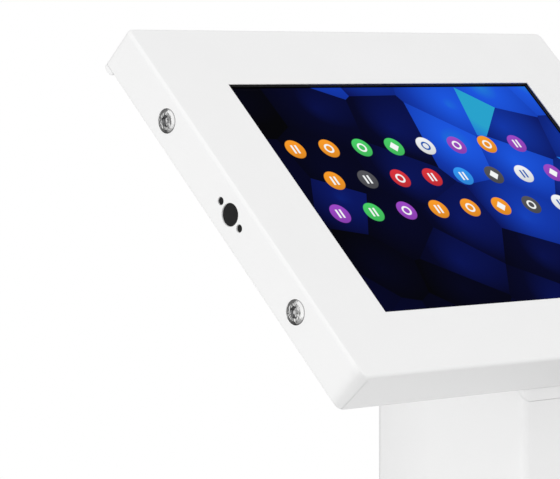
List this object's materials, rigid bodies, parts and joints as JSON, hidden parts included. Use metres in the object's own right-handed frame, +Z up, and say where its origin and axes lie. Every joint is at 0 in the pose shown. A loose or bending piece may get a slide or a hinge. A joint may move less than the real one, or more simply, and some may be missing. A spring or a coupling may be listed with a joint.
{
  "type": "tablet security kiosk stand",
  "caption": "White steel floor stand holding a tablet in a tilted locking head with a window and side security bolts, on a tube column and a square base plate.",
  "frame": {"origin": "on the floor, under the centre of the base plate", "axes": "+Z up; -Y towards the person using the tablet; +X to that person's right"},
  "size_m": [0.4, 0.4, 1.0992],
  "materials": {
    "cover_paint": "white satin powder coat",
    "stand_paint": "white satin powder coat",
    "bright_steel": "bright stainless steel",
    "plated_steel": "zinc plated",
    "black_rubber": "matt",
    "black_plastic": "matt",
    "black_foam": "closed-cell foam",
    "cover_glass": "polished, dark printed border",
    "lit_display": "lit picture",
    "tablet_alloy": "bead-blasted, anodised",
    "battery_wrap": "film-wrapped",
    "circuit_board": "solder mask"
  },
  "bodies": {
    "stand": {"base_plate": "stand_paint", "floor_pads": "black_rubber", "column_foot": "plated_steel", "base_screws": "plated_steel", "column_tube": "stand_paint", "exit_grommet": "black_rubber", "head_plate": "stand_paint", "rear_tray": "stand_paint", "tray_bushing": "black_rubber", "tray_screws": "plated_steel", "tray_washers": "plated_steel"},
    "cover": {"front_cover": "cover_paint", "port_blank": "black_plastic", "window_gasket": "black_foam", "lock_angle_left": "plated_steel", "lock_angle_right": "plated_steel", "lock_nuts": "plated_steel", "cover_studs": "plated_steel", "retainer_bar_left": "plated_steel", "retainer_bar_right": "plated_steel", "retainer_nuts": "plated_steel", "retainer_pads": "black_foam", "corner_blocks": "black_foam", "tablet_glass": "cover_glass", "tablet_display": "lit_display", "tablet_housing": "tablet_alloy", "tablet_battery": "battery_wrap", "tablet_board": "circuit_board"},
    "bolt_left_upper": {"bolt_left_upper": "bright_steel"},
    "bolt_left_lower": {"bolt_left_lower": "bright_steel"},
    "bolt_right_upper": {"bolt_right_upper": "bright_steel"},
    "bolt_right_lower": {"bolt_right_lower": "bright_steel"},
    "power_button": {"power_button": "tablet_alloy"},
    "volume_up_button": {"volume_up_button": "tablet_alloy"},
    "volume_down_button": {"volume_down_button": "tablet_alloy"}
  },
  "joints": [
    {"name": "cover_lift", "type": "slide", "parent": "stand", "child": "cover", "axis": [0, -0.7071, 0.7071], "range_m": [0, 0.09]},
    {"name": "bolt_left_upper_out", "type": "slide", "parent": "cover", "child": "bolt_left_upper", "axis": [-1, 0, 0], "range_m": [0, 0.017]},
    {"name": "bolt_left_lower_out", "type": "slide", "parent": "cover", "child": "bolt_left_lower", "axis": [-1, 0, 0], "range_m": [0, 0.017]},
    {"name": "bolt_right_upper_out", "type": "slide", "parent": "cover", "child": "bolt_right_upper", "axis": [1, 0, 0], "range_m": [0, 0.017]},
    {"name": "bolt_right_lower_out", "type": "slide", "parent": "cover", "child": "bolt_right_lower", "axis": [1, 0, 0], "range_m": [0, 0.017]},
    {"name": "power_button_press", "type": "slide", "parent": "cover", "child": "power_button", "axis": [-1, 0, 0], "range_m": [0, 0.0004], "stiffness_N_per_m": 800},
    {"name": "volume_up_button_press", "type": "slide", "parent": "cover", "child": "volume_up_button", "axis": [0, -0.7071, -0.7071], "range_m": [0, 0.0004], "stiffness_N_per_m": 800},
    {"name": "volume_down_button_press", "type": "slide", "parent": "cover", "child": "volume_down_button", "axis": [0, -0.7071, -0.7071], "range_m": [0, 0.0004], "stiffness_N_per_m": 800}
  ]
}
